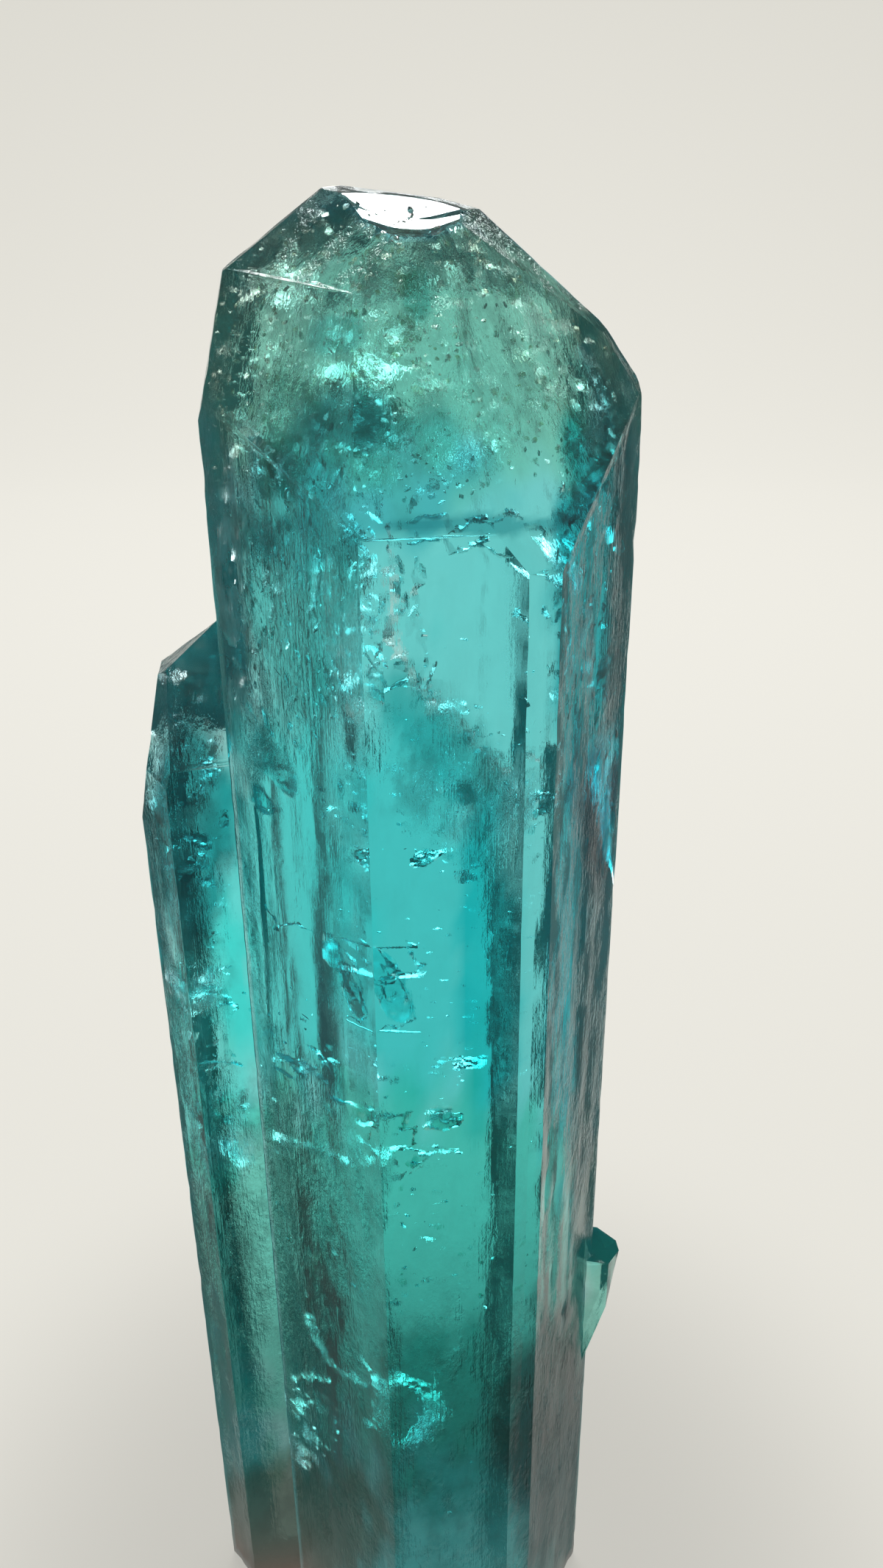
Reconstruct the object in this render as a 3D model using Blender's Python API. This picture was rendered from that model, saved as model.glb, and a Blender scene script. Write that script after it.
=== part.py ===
"""Aquamarine crystal, 82 mm tall: a six-sided prism with faceted shoulders and a chipped tip.

A shorter crystal has grown along its left side and a small bud on its right, and all three are one
solid. The foot is cut off flat, so the crystal stands on it. Metres, +Z up, front facing -Y.
"""

import math

import bmesh
import bpy
import numpy as np
from mathutils import Matrix, Vector

MM = 0.001

# Each crystal has a vertical axis at (x, y). A side face is (azimuth, distance from the axis), and an
# end face is (azimuth, slope, height at which its plane meets the axis). Azimuths are in degrees, 0
# facing the front and 90 the right. Slope 0 is level, 90 upright, and more overhangs. Lengths are in
# millimetres.
MAIN_AXIS = (-1.8, -0.45)
MAIN_SIDES = [(-47, 6.78), (10, 7.39), (40, 7.90), (63, 7.50), (133, 7.50), (190, 6.75), (220, 7.50), (239, 7.10)]
MAIN_ENDS = [
    (-40, 71, 92.3),  # steep shoulders, front left to right
    (10, 66, 87.5),
    (44, 66, 86.8),
    (97, 86, 203.2),
    (-80, 75.5, 107.1),
    (-112, 76.5, 109.0),
    (70, 58, 87.2),
    (118, 56, 87.5),
    (-38, 47, 83.8),  # cap
    (2, 43, 84.3),
    (45, 47, 83.9),
    (70, 44.3, 83.1),
    (118, 42, 83.4),
    (-78, 36, 84.3),
    (-108, 37, 84.7),
    (78, 7.5, 81.45),
    (155, 58, 89.6),  # back
    (190, 62, 88.9),
    (172, 32, 83.4),
    (232, 66, 95.1),
]

SIDE_AXIS = (-10.8, 1.8)
SIDE_SIDES = [(-50, 4.07), (10, 2.82), (70, 4.0), (130, 4.0), (190, 3.9), (220, 4.1), (250, 3.63)]
SIDE_ENDS = [
    (-88, 84, 97.2),
    (-84, 78.5, 76.6),
    (-84, 39, 64.5),
    (8, 66, 64.8),
    (-46, 74, 71.8),
    (190, 60, 64.0),
    (8, 45, 65.3),
    (60, 50, 65.6),
    (0, 0, 64.4),
]

BUD_AXIS = (6.6, 1.5)
BUD_SIDES = [(10, 1.3), (60, 1.9), (100, 2.45), (145, 2.1), (190, 1.5), (250, 2.0), (-50, 1.9)]
BUD_ENDS = [(100, 18, 26.8), (97, 106, 17.9)]
BUD_FOOT = 14.0

# Contact scar low on the back right: the edge is planed off up to a slanting end.
SCAR_AZIMUTH, SCAR_DISTANCE = 141, 6.62
SCAR_END_AZIMUTH, SCAR_END_SLOPE, SCAR_END_HEIGHT = 90, 46, 60.4

# Chip out of the tip: a smooth scoop that rises towards the back.
BITE_CENTRE = (-2.6, -1.6, 83.9)
BITE_RADII = (3.7, 9.0, 3.05)
BITE_RISE = 11

# Growth ledges: shallow steps that run along the side faces.
LEDGE_SPACING = 1.5  # one ledge for each such width of a face
LEDGE_WIDTH = (0.4, 1.2)
LEDGE_DEPTH = (0.06, 0.16)
LEDGE_FOOT = (3, 52)
LEDGE_LENGTH = (9, 40)
LEDGE_STAND = (0.01, 0.04)  # how far a ledge's cutter stands proud of the face

# Etch pits: small angular hollows scattered over the same faces.
PIT_SPACING = 1.3
PIT_RADIUS = (0.22, 0.5)
PIT_DEPTH = (0.08, 0.18)
PIT_FOOT, PIT_TOP = 3, 72
WEAR_SEED = 21

# Chips along the edges as (x, y, z, radius, stretch along z).
CHIPS = [
    (-3.9, -8.6, 57.0, 0.55, 1.8),
    (-3.7, -8.5, 41.5, 0.45, 2.2),
    (2.6, -7.5, 66.8, 0.50, 1.5),
    (3.6, -6.6, 50.5, 0.45, 1.9),
    (7.6, 0.9, 69.6, 0.55, 1.2),
    (7.5, 0.8, 44.0, 0.45, 2.5),
    (-10.6, -1.4, 70.2, 0.55, 1.6),
    (-9.6, -2.5, 74.9, 0.60, 0.8),
    (-6.6, -5.5, 76.6, 0.65, 0.7),
    (5.2, -4.1, 72.6, 0.60, 0.9),
    (2.9, -6.7, 74.3, 0.55, 0.7),
    (-15.0, 1.6, 50.0, 0.50, 2.0),
    (-13.8, -0.9, 58.1, 0.55, 0.9),
    (-12.1, -1.2, 34.0, 0.50, 2.4),
    (3.4, 6.9, 63.5, 0.60, 1.4),
    (-7.0, 6.2, 62.0, 0.60, 1.5),
    (-3.0, 6.9, 22.0, 0.55, 1.6),
]


def normal(azimuth, slope=90.0):
    """Outward normal of a face from its azimuth and slope."""
    a, s = math.radians(azimuth), math.radians(slope)
    return Vector((math.sin(a) * math.sin(s), -math.cos(a) * math.sin(s), math.cos(s)))


def cut(bm, point, outward):
    """Cuts off what lies beyond the plane and closes the cut with one flat face."""
    bmesh.ops.bisect_plane(
        bm,
        geom=bm.verts[:] + bm.edges[:] + bm.faces[:],
        dist=1e-7,
        plane_co=point,
        plane_no=outward,
        clear_outer=True,
    )
    rim = [edge for edge in bm.edges if edge.is_boundary]
    if rim:
        bmesh.ops.contextual_create(bm, geom=rim)


def block(size):
    bm = bmesh.new()
    bmesh.ops.create_cube(bm, size=size * MM)
    return bm


def place(name, bm, collection):
    bmesh.ops.recalc_face_normals(bm, faces=bm.faces)
    mesh = bpy.data.meshes.new(name)
    bm.to_mesh(mesh)
    bm.free()
    obj = bpy.data.objects.new(name, mesh)
    collection.objects.link(obj)
    return obj


def grow(name, axis, sides, ends, foot, collection):
    """A crystal from a block: one plane cut per side face and per end face, then the foot."""
    bm = block(400)
    centre = Vector((axis[0], axis[1], 0)) * MM
    for azimuth, distance in sides:
        cut(bm, centre + normal(azimuth) * distance * MM, normal(azimuth))
    for azimuth, slope, height in ends:
        cut(bm, centre + Vector((0, 0, height * MM)), normal(azimuth, slope))
    cut(bm, Vector((0, 0, foot * MM)), Vector((0, 0, -1)))
    return place(name, bm, collection)


def scar(collection):
    """What the contact scar removes: all beyond its plane, below its slanting end."""
    bm = block(300)
    centre = Vector((MAIN_AXIS[0], MAIN_AXIS[1], 0)) * MM
    side = normal(SCAR_AZIMUTH)
    cut(bm, centre + side * SCAR_DISTANCE * MM, -side)
    cut(bm, centre + Vector((0, 0, SCAR_END_HEIGHT * MM)), normal(SCAR_END_AZIMUTH, SCAR_END_SLOPE))
    return place("scar_cut", bm, collection)


def bite(collection):
    bm = bmesh.new()
    bmesh.ops.create_icosphere(bm, subdivisions=4, radius=MM)
    turn = Matrix.Translation(Vector(BITE_CENTRE) * MM) @ Matrix.Rotation(math.radians(BITE_RISE), 4, "X")
    bmesh.ops.transform(bm, matrix=turn @ Matrix.Diagonal((*BITE_RADII, 1)), verts=bm.verts)
    return place("bite_cut", bm, collection)


def reach(side, neighbour):
    """How far a side face runs towards its neighbour, from the foot of its axis: where the two planes meet."""
    turn = math.radians(neighbour[0] - side[0])
    return (neighbour[1] - side[1] * math.cos(turn)) / math.sin(turn)


def ledge(name, axis, side, across, rng, collection):
    """A wedge that leaves one shallow step along a side face, deepest along one of its long edges."""
    width, depth, foot, length, stand = (
        rng.uniform(*span) * MM for span in (LEDGE_WIDTH, LEDGE_DEPTH, LEDGE_FOOT, LEDGE_LENGTH, LEDGE_STAND)
    )
    out = normal(side[0])
    along = Vector((0, 0, 1)).cross(out)
    start = Vector((axis[0], axis[1], 0)) * MM + out * side[1] * MM + along * across * MM
    up = Vector((0, 0, 1))
    tilt = math.atan2(depth, width)
    bm = block(300)
    cut(bm, start - out * depth, -out * math.cos(tilt) + along * math.sin(tilt))
    cut(bm, start, -along)
    cut(bm, start + out * stand, out)
    cut(bm, start + up * (foot + length), (up + along * rng.uniform(0.1, 0.6)).normalized())
    cut(bm, start + up * foot, (along * rng.uniform(0.1, 0.6) - up).normalized())
    return place(name, bm, collection)


def hollow(name, middle, radius, stretch, rng, collection):
    """A small angular hollow: a coarse sphere stretched along the crystal and turned at random."""
    bm = bmesh.new()
    bmesh.ops.create_icosphere(bm, subdivisions=1, radius=radius * MM)
    spin = Matrix.Rotation(rng.uniform(0, math.pi), 4, "Z") @ Matrix.Rotation(rng.uniform(-0.3, 0.3), 4, "X")
    shape = Matrix.Translation(middle) @ spin @ Matrix.Diagonal((1, 1, stretch, 1))
    bmesh.ops.transform(bm, matrix=shape, verts=bm.verts)
    return place(name, bm, collection)


def wear(name, axis, sides, rng, collection):
    """Ledges and etch pits over every side face of one crystal."""
    for number, side in enumerate(sides):
        after = sides[(number + 1) % len(sides)]
        after = (after[0] + 360 * (number + 1 == len(sides)), after[1])
        before = sides[number - 1]
        before = (before[0] - 360 * (number == 0), before[1])
        low, high = -reach((-side[0], side[1]), (-before[0], before[1])), reach(side, after)
        out = normal(side[0])
        along = Vector((0, 0, 1)).cross(out)
        foot = Vector((axis[0], axis[1], 0)) * MM + out * side[1] * MM
        for index in range(int((high - low) / LEDGE_SPACING)):
            across = rng.uniform(low + 0.2, high - 0.5)
            ledge(f"{name}_ledge_{number}_{index}", axis, side, across, rng, collection)
        for index in range(int((high - low) / PIT_SPACING)):
            radius = rng.uniform(*PIT_RADIUS)
            middle = foot + along * rng.uniform(low + 0.5, high - 0.5) * MM
            middle += out * (radius - rng.uniform(*PIT_DEPTH)) * MM
            middle.z = rng.uniform(PIT_FOOT, PIT_TOP) * MM
            hollow(f"{name}_pit_{number}_{index}", middle, radius, rng.uniform(1, 2.5), rng, collection)


def helpers(name):
    collection = bpy.data.collections.new(name)
    bpy.context.scene.collection.children.link(collection)
    collection.hide_render = True
    return collection


def combine(obj, operation, collection):
    modifier = obj.modifiers.new(collection.name, "BOOLEAN")
    modifier.operation = operation
    modifier.operand_type = "COLLECTION"
    modifier.solver = "EXACT"
    modifier.collection = collection


def gem():
    material = bpy.data.materials.new("aquamarine")
    material.use_nodes = True
    shader = material.node_tree.nodes["Principled BSDF"]
    shader.inputs["Base Color"].default_value = (0.16, 0.55, 0.56, 1.0)
    shader.inputs["Transmission Weight"].default_value = 1.0
    shader.inputs["Roughness"].default_value = 0.04
    shader.inputs["IOR"].default_value = 1.58
    return material


for old in list(bpy.data.objects):
    bpy.data.objects.remove(old, do_unlink=True)

home = bpy.data.collections.new("aquamarine_crystal")
bpy.context.scene.collection.children.link(home)
scars = helpers("scars")
main_wear = helpers("main_wear")
side_wear = helpers("side_wear")
growths = helpers("growths")
chips = helpers("chips")

crystal = grow("aquamarine_crystal", MAIN_AXIS, MAIN_SIDES, MAIN_ENDS, 0, home)
side = grow("side_growth", SIDE_AXIS, SIDE_SIDES, SIDE_ENDS, 0, growths)
grow("bud_growth", BUD_AXIS, BUD_SIDES, BUD_ENDS, BUD_FOOT, growths)

scar(scars)
bite(chips)
worn = np.random.default_rng(WEAR_SEED)
wear("main", MAIN_AXIS, MAIN_SIDES, worn, main_wear)
wear("side", SIDE_AXIS, SIDE_SIDES, worn, side_wear)
for index, (x, y, z, radius, stretch) in enumerate(CHIPS):
    hollow(f"chip_{index}", Vector((x, y, z)) * MM, radius, stretch, worn, chips)
for collection in (scars, main_wear, side_wear, growths, chips):
    for helper in collection.objects:
        helper.display_type = "WIRE"
        helper.hide_render = True

# Each crystal is worn before they join, so no hollow is sealed in where they meet. The bud has grown
# over the scar's edge.
combine(side, "DIFFERENCE", side_wear)
combine(crystal, "DIFFERENCE", scars)
combine(crystal, "DIFFERENCE", main_wear)
combine(crystal, "UNION", growths)
combine(crystal, "DIFFERENCE", chips)

# The joined solid becomes the crystal's own mesh, with the middle of its foot at the origin.
bpy.context.view_layer.update()
graph = bpy.context.evaluated_depsgraph_get()
solid = bpy.data.meshes.new_from_object(crystal.evaluated_get(graph))
crystal.modifiers.clear()
crystal.data = solid
solid.name = "aquamarine_crystal"
points = np.array([vertex.co for vertex in solid.vertices])
low, high = points.min(axis=0), points.max(axis=0)
solid.transform(Matrix.Translation(Vector((-(low[0] + high[0]) / 2, -(low[1] + high[1]) / 2, -low[2]))))
solid.materials.clear()
solid.materials.append(gem())
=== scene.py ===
import math

import bmesh
import bpy
import numpy as np
from mathutils import Euler, Matrix, Vector


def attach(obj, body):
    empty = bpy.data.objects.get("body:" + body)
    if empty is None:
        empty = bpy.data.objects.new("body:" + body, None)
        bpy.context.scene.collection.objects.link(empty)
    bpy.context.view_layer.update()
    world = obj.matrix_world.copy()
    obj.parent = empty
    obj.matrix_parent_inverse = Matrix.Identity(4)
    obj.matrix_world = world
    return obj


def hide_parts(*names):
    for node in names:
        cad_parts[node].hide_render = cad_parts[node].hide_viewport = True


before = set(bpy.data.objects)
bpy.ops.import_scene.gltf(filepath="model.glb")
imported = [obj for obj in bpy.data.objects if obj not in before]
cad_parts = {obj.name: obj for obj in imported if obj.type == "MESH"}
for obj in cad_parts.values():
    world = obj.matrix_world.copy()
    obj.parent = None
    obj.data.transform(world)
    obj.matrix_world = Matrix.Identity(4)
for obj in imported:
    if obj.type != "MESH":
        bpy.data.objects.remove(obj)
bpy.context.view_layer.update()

# The view of the photograph: from close by and looking down along the crystal, so its upright edges
# draw together towards the foot. Millimetres and degrees, from the middle of the crystal's foot.
MM = 0.001
PICTURE = (1200, 2132)  # width and height in pixels
FOCAL = 1800  # focal length in the same pixels
SENSOR = 36  # mm along the picture's longer side
EYE = np.array([3.09, -53.34, 84.5])
EYE_TURN = Euler([math.radians(angle) for angle in (63.01, 0.43, 0.85)])

view_data = bpy.data.cameras.new("view")
view_data.lens = FOCAL / PICTURE[1] * SENSOR
view_data.sensor_width = SENSOR
view_data.clip_start = 2 * MM
view_data.clip_end = 10
view = bpy.data.objects.new("view", view_data)
bpy.context.scene.collection.objects.link(view)
view.location = EYE * MM
view.rotation_euler = EYE_TURN
bpy.context.scene.camera = view


def unit(vectors):
    """The same directions with length 1."""
    return vectors / np.linalg.norm(vectors, axis=-1, keepdims=True)


def sight(across, down):
    """Unit directions of the lines of sight through the picture at pixel columns and rows."""
    across, down = np.broadcast_arrays(np.asarray(across, float), np.asarray(down, float))
    aim = np.stack([across - PICTURE[0] / 2, PICTURE[1] / 2 - down, np.full(across.shape, -FOCAL)], -1)
    return unit(aim @ np.array(EYE_TURN.to_matrix()).T)


# The main prism: beryl that grew as one six-sided column. Two long edges are bevelled, the shoulders
# are steep, and the cap above them is shallower. Azimuth 0 faces the front and 90 the right. Side
# faces are (azimuth, distance from the axis) and end faces (azimuth, slope, height on the axis).
MIDDLE = np.array([3.087, 0.656])  # from the prism's growth coordinates to the middle of the foot
MAIN_AXIS = MIDDLE + (-1.8, -0.45)
MAIN_SIDES = [
    (-47, 6.78), (10, 7.39), (40, 7.9), (63, 7.5), (133, 7.5), (190, 6.75), (220, 7.5), (239, 7.1),
]
MAIN_ENDS = [
    (-40, 71, 92.3),  # shoulders
    (10, 66, 87.5),
    (44, 66, 86.8),
    (97, 86, 203.2),
    (-80, 75.5, 107.1),
    (-112, 76.5, 109),
    (70, 58, 87.2),
    (118, 56, 87.5),
    (-38, 47, 83.8),  # cap
    (2, 43, 84.3),
    (45, 47, 83.9),
    (70, 44.3, 83.1),
    (118, 42, 83.4),
    (-78, 36, 84.3),
    (-108, 37, 84.7),
    (78, 7.5, 81.45),
    (155, 58, 89.6),  # back
    (190, 62, 88.9),
    (172, 32, 83.4),
    (232, 66, 95.1),
]


def half_spaces(axis, sides, ends, foot):
    """Outward unit normals and offsets of a crystal's faces, so that inside is normal . point <= offset."""
    azimuth, slope, height = np.array([(a, 90, 0) for a, _ in sides] + ends, float).T
    azimuth, slope = np.radians(azimuth), np.radians(slope)
    normals = np.stack([np.sin(azimuth) * np.sin(slope), -np.cos(azimuth) * np.sin(slope), np.cos(slope)], -1)
    offsets = normals[:, :2] @ axis + height * np.cos(slope)
    offsets[: len(sides)] += [distance for _, distance in sides]
    return np.vstack([normals, [0, 0, -1]]), np.append(offsets, -foot)


def corner_heights(normals, offsets):
    """Heights of the corners: every point where three faces meet that no other face cuts off."""
    count = len(offsets)
    trio = np.array([(i, j, k) for i in range(count) for j in range(i) for k in range(j)])
    solvable = np.abs(np.linalg.det(normals[trio])) > 1e-6
    trio = trio[solvable]
    meet = np.linalg.solve(normals[trio], offsets[trio][..., None])[..., 0]
    kept = (meet @ normals.T <= offsets + 1e-6).all(axis=1)
    return np.unique(meet[kept, 2].round(5))


def sections(axis, sides, ends, foot, step, fine_step, grid):
    """The skin of a crystal as a grid of level sections, one row per height and columns shared out
    among the faces.

    At height z a face with azimuth b stands at distance d from the axis, d being constant for a side
    and (height - z) / tan(slope) for an end. Along the face, t runs from the last neighbour to its
    left to the first on its right: t sin(b' - b) <= d' - d cos(b' - b) for every other face. A face
    that doesn't reach this height shrinks to the far corner of the last one before it that does.
    """
    normals, offsets = half_spaces(axis, sides, ends, foot)
    corners = corner_heights(normals, offsets)
    top, shoulder = corners[-1], corners[corners > foot + 1][0]
    rows = np.concatenate([
        np.linspace(foot, shoulder, max(2, round((shoulder - foot) / step)))[:-1],
        np.linspace(shoulder, top - 1e-3, max(2, round((top - shoulder) / fine_step))),
        corners[(corners >= shoulder) & (corners < top)],
    ])
    rows = np.unique(rows.round(4))
    rows = rows[np.append(True, np.diff(rows) > 0.01)]
    azimuth = np.radians([face[0] for face in sides + ends])
    order = np.argsort(azimuth % (2 * np.pi))
    side_count = len(sides)
    distance = np.empty((len(rows), len(azimuth)))
    distance[:, :side_count] = [d for _, d in sides]
    for index, (_, slope, height) in enumerate(ends, side_count):
        distance[:, index] = (height - rows) / math.tan(math.radians(slope))
    azimuth, distance = azimuth[order], distance[:, order]
    out = np.stack([np.sin(azimuth), -np.cos(azimuth)], -1)
    along = np.stack([np.cos(azimuth), np.sin(azimuth)], -1)
    turn = azimuth[None, :] - azimuth[:, None]
    sine, cosine = np.sin(turn), np.cos(turn)
    with np.errstate(divide="ignore", invalid="ignore"):
        limit = (distance[:, None, :] - distance[:, :, None] * cosine) / sine
    high = np.where(sine > 1e-6, limit, np.inf).min(axis=2)
    low = np.where(sine < -1e-6, limit, -np.inf).max(axis=2)
    hidden = (np.abs(sine) < 1e-6) & (cosine > 0) & (distance[:, None, :] < distance[:, :, None] - 1e-9)
    there = (high > low) & ~hidden.any(axis=2)
    ends_at = [out * distance[..., None] + along * t[..., None] for t in (low, high)]
    count = len(azimuth)
    latest = np.where(np.tile(there, 2), np.arange(2 * count), -1)
    latest = np.maximum.accumulate(latest, axis=1)[:, count:] % count
    corner = np.take_along_axis(ends_at[1], latest[..., None], axis=1)
    start, finish = (np.where(there[..., None], end, corner) for end in ends_at)
    width = np.linalg.norm(finish - start, axis=2)
    skin, faces, fractions = [], [], []
    for index in range(len(azimuth)):
        parts = max(1, round(width[:, index].max() / grid))
        fraction = np.arange(parts) / parts
        share = fraction[:, None]
        skin.append(start[:, index, None] * (1 - share) + finish[:, index, None] * share)
        faces += [index] * parts
        fractions.append(np.minimum(fraction, 1 - fraction) * width[:, index, None])
    skin = np.concatenate(skin, axis=1)
    points = np.concatenate([skin + axis, np.broadcast_to(rows[:, None, None], (*skin.shape[:2], 1))], axis=2)
    return points, out[faces], np.concatenate(fractions, axis=1)


def swell(points, seed, pitch, stretch=1, waves=26):
    """Smooth random relief, mostly within 1.4 of 0: cosine waves of mixed length near the pitch and of
    random direction and phase, added up and divided by the root of their number. Along z they are
    longer by the stretch."""
    rng = np.random.default_rng(seed)
    heading = unit(rng.normal(size=(waves, 3)))
    heading *= (2 * np.pi / (pitch * rng.uniform(0.6, 1.7, waves)))[:, None] / (1, 1, stretch)
    total = np.cos(points @ heading.T + rng.uniform(0, 2 * np.pi, waves)).sum(axis=-1)
    return total / math.sqrt(waves)


def relief(points, out, margin, seed, depth):
    """Growth relief: each point moves in across its face by the depth times (1.8 + upright ripples of two
    widths + a few ledges), which fades out over the last 0.8 mm to the face's edges. Slight wear moves
    points in towards the axis."""
    ripple = swell(points, seed, 1.2, 14) * 0.6 + swell(points, seed + 1, 3.2, 8) * 0.7
    patch = np.clip(swell(points, seed + 4, 7, 2), 0, 1)
    ledge = np.tanh(swell(points, seed + 2, 1.8, 9) * 4) * 0.7 * patch
    inward = depth * (1.8 + ripple + ledge) * np.clip(margin / 0.8, 0, 1) ** 1.5
    middle = points[..., :2].mean(axis=(0, 1))
    spoke = points[..., :2] - middle
    spoke /= np.linalg.norm(spoke, axis=-1, keepdims=True) + 1e-9
    worn = 0.03 * np.clip(swell(points, seed + 3, 0.9, 2), 0, None)
    moved = points.copy()
    moved[..., :2] -= out * inward[..., None] + spoke * worn[..., None]
    return moved


def new_mesh(name, points, faces):
    """A mesh of points in mm."""
    mesh = bpy.data.meshes.new(name)
    mesh.from_pydata((np.reshape(points, (-1, 3)) * MM).tolist(), [], faces)
    return mesh


def tube_faces(index):
    """Faces of a tube from its points' numbers in rows: quads between neighbouring rows and columns,
    and one face at each end."""
    right = np.roll(index, -1, axis=1)
    quads = np.stack([index[:-1], right[:-1], right[1:], index[1:]], -1).reshape(-1, 4)
    return quads.tolist() + [index[0, ::-1].tolist(), index[-1].tolist()]


def closed_grid(points):
    """A tube of level rows as one mesh."""
    return new_mesh("grid", points, tube_faces(np.arange(points[..., 0].size).reshape(points.shape[:2])))


def add_object(name, mesh):
    obj = bpy.data.objects.new(name, mesh)
    bpy.context.scene.collection.objects.link(obj)
    return obj


main_skin = sections(MAIN_AXIS, MAIN_SIDES, MAIN_ENDS, foot=0, step=0.85, fine_step=0.18, grid=0.4)
crystal = add_object("crystal_skin", closed_grid(relief(*main_skin, seed=11, depth=0.035)))

# The shorter crystal beside it: the same mineral, grown along the left of the main prism and joined
# to it over its whole length, with its own sloping tip.
SIDE_AXIS = MIDDLE + (-10.8, 1.8)
SIDE_SIDES = [(-50, 4.07), (10, 2.82), (70, 4), (130, 4), (190, 3.9), (220, 4.1), (250, 3.63)]
SIDE_ENDS = [
    (-88, 84, 97.2),
    (-84, 78.5, 76.6),
    (-84, 39, 64.5),
    (8, 66, 64.8),
    (-46, 74, 71.8),
    (190, 60, 64),
    (8, 45, 65.3),
    (60, 50, 65.6),
]
side_skin = sections(SIDE_AXIS, SIDE_SIDES, SIDE_ENDS, foot=0, step=0.85, fine_step=0.22, grid=0.42)
side_crystal = add_object("side_crystal", closed_grid(relief(*side_skin, seed=31, depth=0.03)))

# The bud: a stub of a third crystal low on the right edge, hanging over a slanting underside.
BUD_AXIS = MIDDLE + (6.6, 1.5)
BUD_SIDES = [(10, 1.3), (60, 1.9), (100, 2.45), (145, 2.1), (190, 1.5), (250, 2), (-50, 1.9)]
BUD_ENDS = [(100, 18, 26.8)]
BUD_UNDERSIDE = (97, 106, 17.9)
BUD_FOOT = 14
bud_skin = sections(BUD_AXIS, BUD_SIDES, BUD_ENDS, BUD_FOOT, step=0.4, fine_step=0.15, grid=0.3)
bud = add_object("bud", closed_grid(relief(*bud_skin, seed=51, depth=0.03)))


def slab_beyond(axis, azimuth, slope, height):
    """A block of all that lies beyond one plane: a cube turned to the plane and set against it."""
    reach = 120
    bm = bmesh.new()
    bmesh.ops.create_cube(bm, size=reach * MM)
    tip = Matrix.Rotation(math.radians(azimuth), 4, "Z") @ Matrix.Rotation(math.radians(slope), 4, "X")
    foot = Matrix.Translation(Vector((*axis, height)) * MM)
    bmesh.ops.transform(bm, matrix=foot @ tip @ Matrix.Translation((0, 0, reach / 2 * MM)), verts=bm.verts)
    mesh = bpy.data.meshes.new("slab")
    bm.to_mesh(mesh)
    bm.free()
    return add_object("slab", mesh)


def carve(obj, operation, other):
    """Joins or cuts one closed mesh with another, and drops the other."""
    modifier = obj.modifiers.new(operation, "BOOLEAN")
    modifier.operation = operation
    modifier.solver = "MANIFOLD"
    modifier.object = other
    bpy.context.view_layer.update()
    done = bpy.data.meshes.new_from_object(obj.evaluated_get(bpy.context.evaluated_depsgraph_get()))
    obj.modifiers.clear()
    obj.data = done
    bpy.data.objects.remove(other)


carve(bud, "DIFFERENCE", slab_beyond(BUD_AXIS, *BUD_UNDERSIDE))

# The contact scar: low on the back right the prism leaned on a neighbour, which left a flat strip that
# ends in a slant.
SCAR_AZIMUTH, SCAR_DISTANCE = 141, 6.62
SCAR_END = (90, 46, 60.4)
scar_sides = [(SCAR_AZIMUTH + 180, -SCAR_DISTANCE), (51, 20), (SCAR_AZIMUTH, 20), (231, 20)]
scar_skin = sections(MAIN_AXIS, scar_sides, [SCAR_END], foot=-5, step=4, fine_step=4, grid=40)
carve(crystal, "DIFFERENCE", add_object("scar", closed_grid(scar_skin[0])))
carve(crystal, "UNION", side_crystal)
carve(crystal, "UNION", bud)

# The bite: a chip out of the tip, broken like glass, so its floor is a smooth scoop with faint
# ripples that rises towards the back.
BITE_MIDDLE = np.array([*(MIDDLE + (-1.7, -1.6)), 83.9])
BITE_RADII = np.array([4.15, 9, 3.05])
BITE_RISE = math.radians(11)


def scoop(middle, radii, rise, seed):
    """A closed rippled ellipsoid: (sin u cos v, sin u sin v, cos u) times the radii, each point pushed
    out by ripples that run across it and by low swells, then tipped up towards the back."""
    rows, columns = 60, 90
    u = np.linspace(0.02, np.pi - 0.02, rows)[::-1, None]
    v = np.linspace(0, 2 * np.pi, columns, endpoint=False)[None, :]
    height = np.broadcast_to(np.cos(u), (rows, columns))
    ball = np.stack([np.sin(u) * np.cos(v), np.sin(u) * np.sin(v), height], -1)
    push = 1 + 0.004 * np.sin(36 * ball[..., 1]) + 0.012 * swell(ball * 3, seed, 1.6)
    shape = ball * push[..., None] * radii
    tip = np.array(Matrix.Rotation(rise, 3, "X"))
    return shape @ tip.T + middle


carve(crystal, "DIFFERENCE", add_object("bite", closed_grid(scoop(BITE_MIDDLE, BITE_RADII, BITE_RISE, 5))))


# The cracks inside: thin curved gaps that healed only in part. Each is a closed lens of air a few
# hundredths of a millimetre thick with a ragged rim. Level ones mirror the light from behind and
# glint white, and tilted ones mirror the dim room and look dark.
BERYL_IOR = 1.58
CRACK_CLEARANCE = 0.25  # mm kept from a crystal's faces
SMALL_CLEARANCE = 0.1  # the same for narrow cracks and flakes
FINE, COARSE, PLAIN = (8, 26), (5, 16), (3, 10)  # rings and spokes of a crack
LIGHT_WAY = np.array([0, 0.894, 0.447])  # towards the light behind, as bent by the back face
LIGHT_WAY_LEFT = np.array([-0.45, 0.8, 0.405])  # the same from further left
RIGHT_BEND = 0.15  # rightward part of a line of sight above which it needs that one
LIT = 0  # the slope or lean in the lists below that stands for turned to mirror the light
LIT_STRAY = 5  # degrees, the spread of such cracks round that
GAP_LEAST, GAP_GROWTH, GAP_MOST = 0.05, 0.03, 0.09  # mm, mm per mm of half width, and mm
RIBBON_HALF_THICK = 0.025  # mm
FLAKE_HALF_THICK = 0.018  # mm
GLINT_STEP = 24  # pixels from one small crack of a chain to the next, per mm of its half width


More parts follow.
